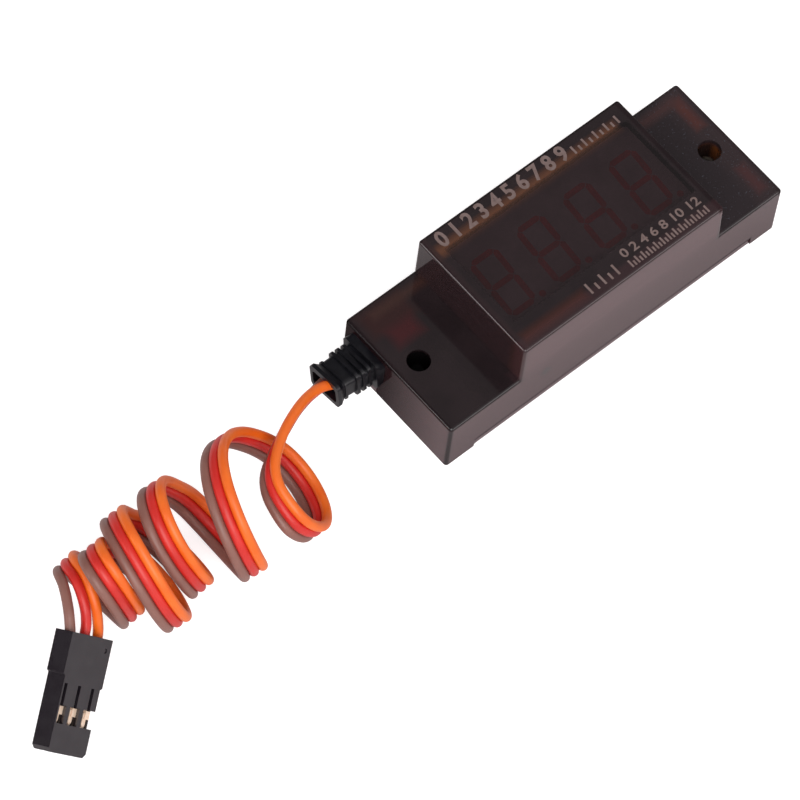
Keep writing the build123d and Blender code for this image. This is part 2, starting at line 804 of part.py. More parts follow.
os.makedirs("parts", exist_ok=True)
marks = display_marks()
keep("housing_shell", housing_shell())
keep("base_cover", base_cover())
keep("circuit_board", circuit_board())
keep("display_case", display_case(marks))
keep("display_segments", marks)
keep("display_pins", display_pins())
keep("microcontroller", microcontroller())
keep("microcontroller_leads", microcontroller_leads())
keep("voltage_regulator", voltage_regulator())
keep("regulator_leads", regulator_leads())
keep("digit_transistors", digit_transistors())
keep("transistor_leads", transistor_leads())
keep("input_diode", board_box(*diode_place, diode_size))
keep("diode_leads", end_leads(diode_place, diode_size, diode_lead_width))
keep("filter_capacitor", board_box(*tantalum_place, tantalum_size))
keep("capacitor_leads", end_leads(tantalum_place, tantalum_size, tantalum_lead_width))
keep("crystal", crystal())
keep("chip_resistors", chip_bodies(resistor_places, resistor_size))
keep("chip_capacitors", chip_bodies(ceramic_places, ceramic_size))
keep("chip_end_caps", chip_end_caps())
keep("solder_joints", solder_joints())
for colour, offset in zip(("orange", "red", "brown"), wire_offsets()):
    keep(f"{colour}_wire_end", wire_run(offset))
keep("strain_relief", strain_relief())
keep("lead_exit", lead_exit())
keep("lead_curl", lead_curl())
keep("lead_tail", lead_tail())
keep("plug_housing", plug_housing())
for number, row in enumerate(plug_rows(), 1):
    keep(f"plug_contact_{number}", plug_contact(row))
keep("plug_wire_ends", plug_wire_ends())
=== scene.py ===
import bpy
import numpy as np
from mathutils import Matrix, Vector


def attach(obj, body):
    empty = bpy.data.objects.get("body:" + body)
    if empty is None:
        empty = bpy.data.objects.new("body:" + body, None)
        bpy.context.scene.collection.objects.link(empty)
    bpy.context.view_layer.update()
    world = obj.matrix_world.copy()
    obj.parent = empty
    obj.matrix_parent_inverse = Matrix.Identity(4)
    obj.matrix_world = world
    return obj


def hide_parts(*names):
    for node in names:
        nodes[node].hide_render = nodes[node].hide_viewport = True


# Ignition tachometer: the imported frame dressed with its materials, print and three-wire lead
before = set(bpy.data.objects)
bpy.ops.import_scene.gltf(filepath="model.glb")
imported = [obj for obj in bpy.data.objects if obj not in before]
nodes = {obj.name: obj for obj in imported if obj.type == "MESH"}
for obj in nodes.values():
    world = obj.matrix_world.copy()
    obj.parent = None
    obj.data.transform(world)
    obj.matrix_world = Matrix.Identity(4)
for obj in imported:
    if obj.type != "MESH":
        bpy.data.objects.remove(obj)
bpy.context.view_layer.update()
mm = 0.001

camera = {
    "place": (-0.27586, -0.22818, 0.61942),
    "right": (0.75735, -0.64964, 0.06632),
    "up": (0.54830, 0.68777, 0.47575),
    "back": (-0.35468, -0.32394, 0.87708),
    "lens": 261.4,  # a long lens on a 36 mm wide sensor
}


def makeCamera(spec):
    data = bpy.data.cameras.new("camera")
    data.lens = spec["lens"]
    data.sensor_width = 36.0
    data.clip_start = 0.05
    holder = bpy.data.objects.new("camera", data)
    turn = Matrix((spec["right"], spec["up"], spec["back"])).transposed()
    holder.matrix_world = Matrix.Translation(spec["place"]) @ turn.to_4x4()
    bpy.context.scene.collection.objects.link(holder)
    bpy.context.scene.camera = holder


makeCamera(camera)
print("camera made")


def linear(code):
    # An sRGB hex colour as the linear values that the sockets take
    parts = [int(code[i:i + 2], 16) / 255 for i in (1, 3, 5)]
    return tuple(c / 12.92 if c <= 0.04045 else ((c + 0.055) / 1.055) ** 2.4 for c in parts) + (1.0,)


def addNode(tree, kind, inputs=None, **settings):
    # Adds a node: settings are its own properties, inputs are socket values or other nodes' outputs
    node = tree.nodes.new("ShaderNode" + kind)
    for name, value in settings.items():
        setattr(node, name, value)
    for name, value in (inputs or {}).items():
        if isinstance(value, bpy.types.NodeSocket):
            tree.links.new(value, node.inputs[name])
        else:
            node.inputs[name].default_value = value
    return node


def maths(tree, operation, first, second):
    # Two values joined by one sum
    return addNode(tree, "Math", {0: first, 1: second}, operation=operation).outputs[0]


def blend(tree, share, first, second):
    # The first colour where the share is 0, the second where it is 1
    return addNode(tree, "Mix", {0: share, 6: first, 7: second}, data_type="RGBA").outputs[2]


def newMaterial(name):
    material = bpy.data.materials.new(name)
    material.use_nodes = True
    tree = material.node_tree
    tree.nodes.clear()
    output = addNode(tree, "OutputMaterial")
    return material, tree, output


def speckled(tree, coords, base, other, grain):
    # Two close colours mixed by noise whose grain is in mm, over the middle of the noise's range
    noise = addNode(tree, "TexNoise", {"Vector": coords, "Scale": 1 / (grain * mm), "Detail": 3.0})
    share = addNode(tree, "MapRange", {"Value": noise.outputs["Fac"], 1: 0.4, 2: 0.6})
    return blend(tree, share.outputs["Result"], linear(base), linear(other))


def plainFinish(
    name, base, other, grain, roughness, ior=1.5, metallic=0.0, bumpDepth=0.0, bumpGrain=0.2,
):
    # A moulded, drawn or plated surface: faint mottling of its colour, and a fine relief if bumpDepth is
    # given. Grains and depth are in mm, and a metal keeps the default IOR
    material, tree, output = newMaterial(name)
    coords = addNode(tree, "TexCoord").outputs["Object"]
    colour = speckled(tree, coords, base, other, grain)
    look = {"Base Color": colour, "Roughness": roughness, "Metallic": metallic}
    shader = addNode(tree, "BsdfPrincipled", look)
    if not metallic:
        shader.inputs["IOR"].default_value = ior
    if bumpDepth:
        relief = addNode(tree, "TexNoise", {"Vector": coords, "Scale": 1 / (bumpGrain * mm), "Detail": 2.0})
        height = {"Height": relief.outputs["Fac"], "Strength": 0.6, "Distance": bumpDepth * mm}
        bump = addNode(tree, "Bump", height)
        tree.links.new(bump.outputs["Normal"], shader.inputs["Normal"])
    tree.links.new(shader.outputs[0], output.inputs["Surface"])
    return material


def paint(nodeNames, material):
    # Puts the material on the frame's own solids
    for name in nodeNames:
        slots = nodes[name].data.materials
        slots.clear()
        slots.append(material)


lead = {
    "wireDiameter": 1.27,  # the three wires' covers are joined where they meet
    "wirePitch": 1.25,
    "length": 0.253,
    # Where the ribbon leaves the mouth, rises over the first turn and drops into it, and how its width lies
    "exitPoints": [
        (-32.50, 5.33, 6.32), (-34.40, 5.46, 6.53), (-36.11, 5.20, 7.05), (-38.07, 4.68, 7.84),
        (-40.57, 3.62, 8.84), (-44.24, 1.86, 9.50), (-49.09, -1.49, 10.42), (-49.64, -7.05, 8.65),
    ],
    "exitWays": [
        (0.0, -0.80, 0.60), (-0.30, -0.42, 0.86), (-0.36, -0.30, 0.88), (-0.38, -0.30, 0.87),
        (-0.30, -0.28, 0.91), (0.0, -0.18, 0.98), (0.50, -0.12, 0.86), (0.77, -0.26, 0.59),
    ],
    # The curl's turns, one value for each half turn: mm, degrees, and shares of the radius for the ovals
    "turnX": [
        -47.20, -46.97, -47.22, -55.54, -59.20, -63.23, -65.02,
        -66.78, -69.26, -72.38, -72.83, -75.79, -78.32,
    ],
    "turnY": [3.12, -1.38, -0.74, -0.13, -0.96, 3.41, -0.03, 1.98, -2.40, 3.73, -0.64, 3.18, 2.62],
    "radius": [6.01, 6.95, 6.32, 9.73, 6.74, 9.80, 6.35, 10.17, 6.55, 8.77, 6.40, 6.33, 6.34],
    "lean": [36.1, 36.0, 31.8, 26.1, 14.7, 24.5, 25.0, 21.8, 20.9, 17.6, 18.0, 16.8, 16.8],
    "swing": [-16.0, -18.7, -16.4, -14.1, -12.7, -4.6, -5.8, -14.3, -6.7, -1.3, 3.1, -2.6, -1.7],
    "lift": [0.09, 0, 0, 0, 0, 0, 0, 0, 0, 0.18, 0, 0, 0],
    "ovalAlong": [
        -0.023, -0.068, -0.159, -0.078, -0.131, 0.030, -0.116, 0.020, -0.108, -0.057, -0.017, 0, 0,
    ],
    "ovalAcross": [0.024, 0.153, 0.032, 0.049, -0.082, 0.074, -0.053, 0.076, -0.072, 0.027, 0.010, 0, 0],
    "angles": (198, 1854, 24),  # degrees: first, last and step, which is 15 points a turn
    # Where the wires part and go down into the plug
    "tailPoints": [
        (-75.67, 1.34, 12.78), (-76.64, -1.45, 11.80), (-77.38, -2.72, 10.07), (-78.20, -3.39, 9.14),
        (-78.80, -3.85, 8.78),
    ],
    "tailWays": [
        (0.97, -0.08, 0.22), (0.99, -0.16, -0.06), (0.80, -0.22, -0.58), (0.621, -0.226, -0.751),
        (0.621, -0.226, -0.751),
    ],
    # Each wire's side of the ribbon, and how far from its middle it stands at the tail's points
    "strands": [
        ("brownRoute", -1, [1.61, 2.07, 2.54, 2.6, 2.6]),
        ("redRoute", 0, [0, 0, 0, 0, 0]),
        ("orangeRoute", 1, [1.27, 1.3, 1.71, 2.48, 2.5]),
    ],
    "smoothness": 8,  # steps of the line from one worked-out point to the next
    "sides": 18,
}


def alongTurns(values, angles):
    # Catmull-Rom blend of a column's values, which stand half a turn apart
    place = angles / 180.0
    i = np.clip(np.floor(place).astype(int), 1, len(values) - 3)
    f = place - i
    a, b, c, d = (values[i + k] for k in (-1, 0, 1, 2))
    return 0.5 * (2 * b + (c - a) * f + (2 * a - 5 * b + 4 * c - d) * f**2 + (3 * b - a - 3 * c + d) * f**3)


def coilPoints(spec):
    # Each turn is an oval that stands on the floor in a plane of its own, leaning back and swung sideways:
    # centre + radius * (1 + oval parts) * (cos(angle) * sideways + sin(angle) * upwards in that plane)
    angles = np.arange(spec["angles"][0], spec["angles"][1] + 1, spec["angles"][2], dtype=float)
    names = ("turnX", "turnY", "radius", "lean", "swing", "lift", "ovalAlong", "ovalAcross")
    x, y, radius, lean, swing, lift, along, across = (
        alongTurns(np.array(spec[name], dtype=float), angles) for name in names
    )
    lean, swing, turn = np.radians(lean), np.radians(swing), np.radians(angles)
    normal = np.stack([np.cos(lean) * np.cos(swing), np.cos(lean) * np.sin(swing), np.sin(lean)], axis=1)
    upwards = np.array([0.0, 0.0, 1.0]) - normal[:, 2:] * normal
    upwards /= np.linalg.norm(upwards, axis=1)[:, None]
    sideways = np.cross(upwards, normal)
    reach = radius * (1 + along * np.cos(2 * turn) + across * np.sin(2 * turn))
    # The oval's centre is as high as lets the lowest wire touch the floor, plus any lift
    underside = spec["wirePitch"] / 2 + spec["wirePitch"] * np.abs(np.sin(lean))
    height = radius * (1 - along) * np.cos(lean) + underside + lift
    centre = np.stack([x, y, height], axis=1)
    ring = np.cos(turn)[:, None] * sideways + np.sin(turn)[:, None] * upwards
    return centre + reach[:, None] * ring, normal


def unit(rows):
    # Each row divided by its own length
    return rows / np.linalg.norm(rows, axis=1)[:, None]


def squared(ways, along):
    # The part of each direction that is square to the run
    return unit(ways - (ways * along).sum(axis=1)[:, None] * along)


def smoothLine(name, points, resolution):
    # Blender's own NURBS line through a row of control points, read back as the mesh of a curve without bevel
    curve = bpy.data.curves.new(name, "CURVE")
    curve.dimensions = "3D"
    curve.resolution_u = resolution
    spline = curve.splines.new("NURBS")
    spline.points.add(len(points) - 1)
    spline.points.foreach_set("co", np.hstack([points, np.ones((len(points), 1))]).ravel())
    spline.use_endpoint_u = True
    spline.order_u = 3
    holder = bpy.data.objects.new(name, curve)
    mesh = bpy.data.meshes.new_from_object(holder)
    line = np.empty(3 * len(mesh.vertices))
    mesh.vertices.foreach_get("co", line)
    bpy.data.objects.remove(holder)
    bpy.data.curves.remove(curve)
    bpy.data.meshes.remove(mesh)
    return line.reshape(-1, 3)


def tube(line, ways, radius, sides):
    # A circle carried along a line: point + radius * (cos(a) * ribbon direction + sin(a) * its square)
    run = unit(np.gradient(line, axis=0))
    first = squared(ways, run)
    second = np.cross(run, first)
    a = np.arange(sides) * 2 * np.pi / sides
    ring = np.cos(a)[None, :, None] * first[:, None] + np.sin(a)[None, :, None] * second[:, None]
    points = line[:, None] + radius * ring
    return points.reshape(-1, 3)


def tubeFaces(count, sides):
    # Four-sided faces between neighbouring rings, and a face over each end
    i, j = np.meshgrid(np.arange(count - 1), np.arange(sides), indexing="ij")
    k = (j + 1) % sides
    quads = np.stack([i * sides + j, i * sides + k, (i + 1) * sides + k, (i + 1) * sides + j], axis=-1)
    ends = [list(range(sides))[::-1], list(range((count - 1) * sides, count * sides))]
    return quads.reshape(-1, 4).tolist(), ends


def makeLead(spec):
    # Three tubes along three routes: worked-out point + side * pitch * the ribbon's own direction there
    turns, turnWays = coilPoints(spec)
    points = np.vstack([spec["exitPoints"], turns, spec["tailPoints"]])
    ways = np.vstack([unit(np.array(spec["exitWays"])), turnWays, unit(np.array(spec["tailWays"]))])
    ways = squared(ways, unit(np.gradient(points, axis=0)))
    lines = []
    for name, side, tail in spec["strands"]:
        shift = np.full(len(points), side * spec["wirePitch"])
        shift[-len(tail):] = side * np.array(tail)
        lines.append(smoothLine(name, points + shift[:, None] * ways, spec["smoothness"]))
    middle = lines[1]
    across = squared(lines[2] - middle, unit(np.gradient(middle, axis=0)))
    vertices, faces, owner, lengths = [], [], [], []
    for wire, line in enumerate(lines):
        quads, ends = tubeFaces(len(line), spec["sides"])
        start = wire * len(line) * spec["sides"]
        vertices.append(tube(line, across, spec["wireDiameter"] / 2, spec["sides"]))
        faces += [[v + start for v in face] for face in quads + ends]
        owner += [wire] * (len(quads) + 2)
        lengths.append(np.linalg.norm(np.diff(line, axis=0), axis=1).sum())
    mesh = bpy.data.meshes.new("lead")
    mesh.from_pydata((np.vstack(vertices) * mm).tolist(), [], faces)
    mesh.polygons.foreach_set("material_index", owner)
    mesh.polygons.foreach_set("use_smooth", [len(face) == 4 for face in faces])
    mesh.update()
    piece = bpy.data.objects.new("lead", mesh)
    bpy.context.scene.collection.objects.link(piece)
    print("lead made, its wires' lengths", np.round(lengths, 1))
    return piece, middle * mm


# Soft PVC insulation, extruded: an even colour with a soft sheen, and a faint unevenness in grazing light
wireColours = {
    "brown": ("#85594f", "#8c6056"),
    "red": ("#d42a23", "#cb231d"),
    "orange": ("#f2701c", "#ec6614"),
}
insulation = [
    plainFinish(name + "PvcInsulation", *colours, 3.0, 0.42, ior=1.53, bumpDepth=0.01, bumpGrain=0.5)
    for name, colours in wireColours.items()
]
leadPiece, leadPath = makeLead(lead)
for finish in insulation:
    leadPiece.data.materials.append(finish)
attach(leadPiece, "root")
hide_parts("lead_exit", "lead_curl", "lead_tail")

shell = {
    "smoke": ("#211a1c", "#261e20"),
    # Painted shade: the dark colour of the rounded edges, and the colour that the painted shade below darkens
    # towards
    "paintedRimShade": "#120c0e",
    # The walls' colour, lighter and warmer than the tops: painted warm light through the thin walls
    "side": "#472b2f",
    "opacity": 0.95,
    "windowOpacity": 0.40,
    "tint": "#dcd1d1",
    "frontGloss": 0.045,  # share of light mirrored straight on, which is what IOR 1.54 gives
    "glossRoughness": 0.09,
    "softEdge": 0.3,  # mm over which one look gives way to the next, and the same for walls and the hollow
    "sideSoftness": 0.4,
    "insideSoftness": 0.05,
    # Boxes in mm: centre and half sizes. The tops are the smooth upper faces, and the inside is the hollow
    "tops": [((0.27, 0, 12.6), (16.5, 9.5, 3.8)), ((0, 0, 8.9), (26.8, 9.55, 0.3))],
    "sides": [((0, 0, 4.1), (28, 10, 4.4)), ((0.27, 0, 11.5), (15.7, 10.3, 4.1))],
    "inside": [((0, 0, 3.7), (21, 9.2, 4.7)), ((0.2, 0, 10), (15.7, 9.2, 5.6))],
    "window": ((0.42, 0.55, 16.1), (14.65, 6.35, 0.7)),
    # Painted light and shade laid over the plastic: warm light painted where light from inside would show
    # through, painted shade where the plastic looks darkest, a lighter tone on the plain ear and the dark
    # seam: colour, centre, half sizes and softness of the edge
    "paintedLightAndShade": [
        # painted warm light along the display's near and far edges
        ("#381f1b", (-10.0, -8.2, 16.1), (5.0, 0.7, 0.5), 1.0),
        ("#583828", (-1.0, 7.0, 16.1), (14.5, 0.7, 0.5), 1.2),
        # painted shade on the block's lead-end wall, and painted warm light at its near corner
        ("#2c2022", (-15.8, 0, 12.7), (0.6, 9.6, 3.5), 0.5),
        ("#3a2420", (-15.6, -8.7, 12.5), (0.4, 0.8, 2.5), 1.4),
        # painted warm light on the lead ear's top
        ("#321b1a", (-22.6, 7.3, 8.9), (3.0, 1.6, 0.5), 2.0),
        ("#3a2622", (-20.0, 8.1, 8.9), (4.2, 0.5, 0.5), 1.2),
        ("#42191c", (-22.3, 4.2, 8.9), (1.7, 1.1, 0.5), 2.0),
        # a lighter tone over the plain ear's top and towards its end, then painted warm light near the plain
        # end and along the far edge
        ("#282124", (21.5, 0, 8.9), (5.3, 9.4, 0.5), 0.6),
        ("#33282a", (25.5, 0, 8.9), (1.6, 9.4, 0.5), 2.5),
        ("#4a2a27", (25.1, 5.6, 8.9), (0.7, 2.5, 0.5), 1.0),
        ("#3f2a2a", (22.2, 8.0, 8.9), (3.0, 0.6, 0.5), 1.2),
        ("#412829", (25.1, -6.1, 8.9), (0.7, 2.2, 0.5), 1.0),
        # painted warm light on the block's near side
        ("#54363a", (0.27, -9.8, 12.6), (15.6, 0.5, 2.6), 3.0),
        # in the plain end's screw hole: painted amber light on its wall, painted shade on one side and a
        # painted pale spot of light
        ("#7a4420", (24.2, 0, 4.0), (1.4, 1.7, 3.9), 0.8),
        ("#2a1a16", (24.0, 1.5, 4.0), (1.6, 0.9, 4.2), 0.8),
        ("#857462", (25.0, 1.0, 4.6), (0.5, 0.7, 0.3), 0.4),
        # painted shade on the lead end's near upright edge
        ("#1c1214", (-26.85, -9.65, 4.4), (0.3, 0.3, 4.2), 0.3),
        # the dark seam over the cover's strip
        ("#1c1013", (0.2, -9.8, 1.56), (22.7, 0.5, 0.14), 0.1),
        # painted shade down the screw hole at the lead's end
        ("#0c0a0b", (-23.7, 0, 4.4), (1.7, 1.7, 4.2), 0.4),
    ],
    # Painted shade, where the surface is made darker and mirrors less: box, axis, the places where that
    # starts and ends, and the least share
    "paintedShades": [
        (((-27, 0, 4), (0.5, 12, 6)), "Y", (-8.0, 3.0), 0.2),  # the end wall, towards the grommet
        (((0, -9.9, 8), (28, 0.6, 9)), "Z", (13.0, 1.0), 0.82),  # the near side, towards the floor
        (((27, 0, 8.7), (0.6, 11, 0.8)), "Z", (7.6, 8.6), 0.25),  # the plain end's upper edge
        (((16, 0, 15.9), (0.6, 11, 0.8)), "Z", (14.8, 15.8), 0.25),  # the block's upper edge above it
        (((-23.7, 0, 4.2), (1.7, 1.7, 4.2)), "Z", (9.0, 8.7), 0.1),  # down the screw hole at the lead's end
        (((0.2, -9.8, 1.5), (22.7, 0.5, 0.2)), "Z", (9.0, 8.7), 0.35),  # the seam over the cover's strip
    ],
    # Fine pale specks on the plain ear: colour, box, grain in mm, and the noise levels of a speck's edge and
    # its middle
    "dust": ("#42444c", ((21.5, 0, 8.9), (5.4, 9.5, 0.5))),
    "dustGrain": 0.3,
    "dustLevels": (0.64, 0.85),
    # A round gate mark on the near side: place, radius, colour and the softness of its edge
    "mark": ((-11.56, -9.8, 6.47), 0.75, "#2c2426"),
    "markSoftness": 0.3,
}


def facingGloss(tree, atFront):
    # Schlick's share of light that a glossy surface reflects, the same seen from both sides:
    # front share + (1 - front share) * (1 - cosine)^5
    facing = addNode(tree, "LayerWeight", {"Blend": 0.5}).outputs["Facing"]
    power = maths(tree, "POWER", facing, 5.0)
    rest = 1 - atFront
    return addNode(tree, "Math", {0: power, 1: rest, 2: atFront}, operation="MULTIPLY_ADD").outputs[0]


def boxShare(tree, place, centre, half, soft):
    # 1 inside a box and 0 outside it, with a soft step at its faces; all in mm
    away = addNode(tree, "VectorMath", {0: place, 1: centre}, operation="SUBTRACT").outputs[0]
    away = addNode(tree, "VectorMath", {0: away}, operation="ABSOLUTE").outputs[0]
    away = addNode(tree, "VectorMath", {0: away, 1: half}, operation="SUBTRACT").outputs[0]
    parts = addNode(tree, "SeparateXYZ", {0: away}).outputs
    most = maths(tree, "MAXIMUM", maths(tree, "MAXIMUM", parts[0], parts[1]), parts[2])
    return addNode(tree, "MapRange", {"Value": most, 1: soft / 2, 2: -soft / 2}).outputs["Result"]


def smokedPlastic(name, spec):
    # Smoked polycarbonate, injection moulded and polished: dark and glossy outside, with the display faint
    # behind its thin window, painted warm light where light from inside would come through, and painted shade
    # on its darker faces and edges
    material, tree, output = newMaterial(name)
    coords = addNode(tree, "TexCoord").outputs["Object"]
    place = addNode(tree, "VectorMath", {0: coords, "Scale": 1 / mm}, operation="SCALE").outputs[0]
    soft = spec["softEdge"]
    top = maths(tree, "MAXIMUM", *[boxShare(tree, place, *box, soft) for box in spec["tops"]])
    walls = [boxShare(tree, place, *box, spec["sideSoftness"]) for box in spec["sides"]]
    side = maths(tree, "MAXIMUM", *walls)
    # Walls take the side colour, which holds painted warm light; the rounded edges take the rim's painted
    # shade
    colour = blend(tree, side, linear(spec["paintedRimShade"]), linear(spec["side"]))
    parts = addNode(tree, "SeparateXYZ", {0: place}).outputs
    # Painted shade: inside each box the level falls, darkening the colour towards the rim shade and weakening
    # the reflection
    level = 1.0
    for box, axis, (first, last), least in spec["paintedShades"]:
        darker = addNode(tree, "MapRange", {"Value": parts[axis], 1: first, 2: last, 3: 1.0, 4: least})
        within = boxShare(tree, place, *box, soft)
        share = addNode(tree, "Mix", {0: within, 2: 1.0, 3: darker.outputs["Result"]})
        level = maths(tree, "MULTIPLY", share.outputs[0], level)
    colour = blend(tree, level, linear(spec["paintedRimShade"]), colour)
    colour = blend(tree, top, colour, speckled(tree, coords, *spec["smoke"], 5.0))
    # Painted light and shade patches laid over the colour
    for glow, centre, half, fade in spec["paintedLightAndShade"]:
        colour = blend(tree, boxShare(tree, place, centre, half, fade), colour, linear(glow))
    pale, box = spec["dust"]
    size = 1 / (spec["dustGrain"] * mm)
    start, full = spec["dustLevels"]
    grains = addNode(tree, "TexNoise", {"Vector": coords, "Scale": size, "Detail": 1.0})
    specks = addNode(tree, "MapRange", {"Value": grains.outputs["Fac"], 1: start, 2: full}).outputs["Result"]
    dusty = maths(tree, "MULTIPLY", specks, boxShare(tree, place, *box, soft))
    colour = blend(tree, dusty, colour, linear(pale))
    spot, radius, dark = spec["mark"]
    edge = spec["markSoftness"]
    far = addNode(tree, "VectorMath", {0: place, 1: spot}, operation="DISTANCE").outputs["Value"]
    near = addNode(tree, "MapRange", {"Value": far, 1: radius + edge, 2: radius - edge}).outputs["Result"]
    colour = blend(tree, near, colour, linear(dark))
    hollow = [boxShare(tree, place, *box, spec["insideSoftness"]) for box in spec["inside"]]
    inside = maths(tree, "MAXIMUM", *hollow)
    outside = maths(tree, "SUBTRACT", 1.0, inside)
    window = boxShare(tree, place, *spec["window"], soft)
    thinner = spec["windowOpacity"] - spec["opacity"]
    mixed = addNode(tree, "Math", {0: window, 1: thinner, 2: spec["opacity"]}, operation="MULTIPLY_ADD")
    opacity = mixed.outputs[0]
    body = addNode(tree, "BsdfDiffuse", {"Color": colour})
    clear = addNode(tree, "BsdfTransparent", {"Color": linear(spec["tint"])})
    share = maths(tree, "MULTIPLY", opacity, outside)
    through = addNode(tree, "MixShader", {0: share, 1: clear.outputs[0], 2: body.outputs[0]})
    # The reflection takes the painted shade's level as its colour
    gloss = addNode(tree, "BsdfAnisotropic", {"Color": level, "Roughness": spec["glossRoughness"]})
    share = maths(tree, "MULTIPLY", facingGloss(tree, spec["frontGloss"]), outside)
    surface = addNode(tree, "MixShader", {0: share, 1: through.outputs[0], 2: gloss.outputs[0]})
    tree.links.new(surface.outputs[0], output.inputs["Surface"])
    return material


paint(["housing_shell"], smokedPlastic("smokedPolycarbonate", shell))
print("shell finished")

# One row for each finish: its name, colour, second colour, mottling in mm, roughness, IOR, metallic, and the
# depth and grain of its relief in mm
finishes = {
    # The same smoked plastic without a window: polished, and paler because it is thinner
    ("base_cover",): ("smokedPolycarbonateCover", "#553a3f", "#4e3338", 5.0, 0.15, 1.55, 0.0, 0.0, 0.2),
    # Glass-epoxy laminate under green solder mask: satin and a little uneven
    ("circuit_board",): ("glassEpoxyLaminate", "#1e5a34", "#174a2a", 1.5, 0.35, 1.55, 0.0, 0.02, 0.5),
    # Moulded polyester: a dull grey face
    ("display_case",): ("greyMouldedPolyester", "#736e76", "#6b666d", 4.0, 0.5, 1.5, 0.0, 0.01, 0.3),
    # Cast resin that spreads light: dull red while unlit
    ("display_segments",): ("redDiffusingResin", "#863038", "#7a2b32", 2.0, 0.4, 1.5, 0.0, 0.0, 0.2),
    # Drawn or stamped copper dipped in tin: bright and a little uneven
    (
        "display_pins", "microcontroller_leads", "regulator_leads", "transistor_leads", "diode_leads",
        "capacitor_leads", "chip_end_caps", "solder_joints",
    ): ("tinnedCopper", "#c9c6c0", "#b4b0a8", 0.8, 0.3, 1.5, 1.0, 0.01, 0.2),
    # Transfer-moulded epoxy: matt black with a fine grain
    ("microcontroller", "voltage_regulator", "digit_transistors", "input_diode"): (
        "mouldedChipEpoxy", "#26262a", "#1d1d20", 0.6, 0.6, 1.5, 0.0, 0.01, 0.1,
    ),
    # Moulded epoxy round a tantalum slug: satin ochre
    ("filter_capacitor",): ("tantalumEpoxy", "#c98a24", "#bd7f1e", 1.0, 0.45, 1.5, 0.0, 0.01, 0.2),
    # Nickel-plated can: pale metal with a soft shine
    ("crystal",): ("nickelPlatedCan", "#b9b7b0", "#a9a79f", 1.0, 0.25, 1.5, 1.0, 0.0, 0.2),
    # Glaze printed over the resistive film: black with a soft shine
    ("chip_resistors",): ("glazedResistorBody", "#1f1f22", "#2a2a2e", 0.5, 0.3, 1.5, 0.0, 0.0, 0.2),
    # Fired ceramic: matt tan
    ("chip_capacitors",): ("barrierCeramic", "#b08a5c", "#a27c50", 0.5, 0.5, 1.6, 0.0, 0.01, 0.1),
    # Extruded PVC, as on the lead
    ("orange_wire_end",): ("orangeWireCover", *wireColours["orange"], 3.0, 0.4, 1.53, 0.0, 0.0, 0.2),
    ("red_wire_end",): ("redWireCover", *wireColours["red"], 3.0, 0.4, 1.53, 0.0, 0.0, 0.2),
    ("brown_wire_end",): ("brownWireCover", *wireColours["brown"], 3.0, 0.42, 1.53, 0.0, 0.0, 0.2),
    # Soft moulded PVC: near black, with a dull sheen along its ribs
    ("strain_relief",): ("blackPvcGrommet", "#0e0e13", "#131318", 1.0, 0.34, 1.45, 0.0, 0.02, 0.3),
    # Injection-moulded nylon: black with a clear sheen over a fine grain
    ("plug_housing",): ("blackMouldedNylon", "#1e191f", "#242025", 1.5, 0.22, 1.62, 0.0, 0.02, 0.25),
    # Stamped bronze under a thin flash of gold: pale, and metallic only in part, to stay light in shade
    ("plug_contact_1", "plug_contact_2", "plug_contact_3"): (
        "goldFlashedBronze", "#ffe6d0", "#f4d8be", 0.6, 0.35, 1.5, 0.35, 0.01, 0.15,
    ),
}
for members, values in finishes.items():
    paint(members, plainFinish(*values))


def wireEnds():
    # PVC covers of the three wires' ends in the plug, coloured by how far across it they stand
    material, tree, output = newMaterial("pvcWireEnds")
    coords = addNode(tree, "TexCoord").outputs["Object"]
    way, rear = lead["tailWays"][-1], Vector(lead["tailPoints"][-1])
    across = addNode(tree, "VectorMath", {0: coords, 1: way}, operation="DOT_PRODUCT").outputs["Value"]
    middle = rear.dot(Vector(way))
    halfPitch = 1.27  # of the plug's 2.54 mm cavities
    past = [maths(tree, "GREATER_THAN", across, (middle + side * halfPitch) * mm) for side in (-1, 1)]
    brown, red, orange = (linear(colours[0]) for colours in wireColours.values())
    colour = blend(tree, past[1], blend(tree, past[0], brown, red), orange)
    shader = addNode(tree, "BsdfPrincipled", {"Base Color": colour, "Roughness": 0.4, "IOR": 1.53})
    tree.links.new(shader.outputs[0], output.inputs["Surface"])
    return material


paint(["plug_wire_ends"], wireEnds())
print("inside finished")

ink = {
    "colours": ("#756461", "#6d5b57"),
    "top": 16.1,
    "thickness": 0.02,
    # Name, words, height, left, foot and width in mm, and how much bolder than the plain font
    "digits": [
        ("boldDigits", "0 1 2 3 4 5 6 7 8 9", 2.4, -14.3, 7.05, 20.6, 0.03),
        ("nearDigits", "0 2 4 6 8 10 12", 1.3, 1.9, -7.55, 12.6, 0.02),
    ],
    # Name, left, right and foot in mm, count, long and short height, and width in mm
    "ticks": [
        ("farTicks", 7.0, 14.3, 7.1, 9, (1.2, 0.75), 0.28),
        ("nearTicks", -4.4, 0.2, -8.8, 5, (1.6, 1.0), 0.3),
        ("nearScale", 1.9, 14.5, -9.1, 25, (1.1, 0.7), 0.26),
    ],
}


def printedText(name, words, height, left, foot, width, boldness):
    # Plain digits: the built-in font's outlines filled flat, then scaled to the print's height and width
    curve = bpy.data.curves.new(name, "FONT")
    curve.body = words
    curve.size = 1.0
    curve.offset = boldness
    curve.extrude = 0.01
    curve.resolution_u = 3
    holder = bpy.data.objects.new(name, curve)
    mesh = bpy.data.meshes.new_from_object(holder)
    bpy.data.objects.remove(holder)
    points = np.empty(3 * len(mesh.vertices))
    mesh.vertices.foreach_get("co", points)
    points = points.reshape(-1, 3)
    low, high = points.min(axis=0), points.max(axis=0)
    points = (points - low) / (high - low) * (width, height, ink["thickness"]) + (left, foot, ink["top"])
    mesh.vertices.foreach_set("co", (points * mm).ravel())
    mesh.update()
    mesh.name = name
    return mesh


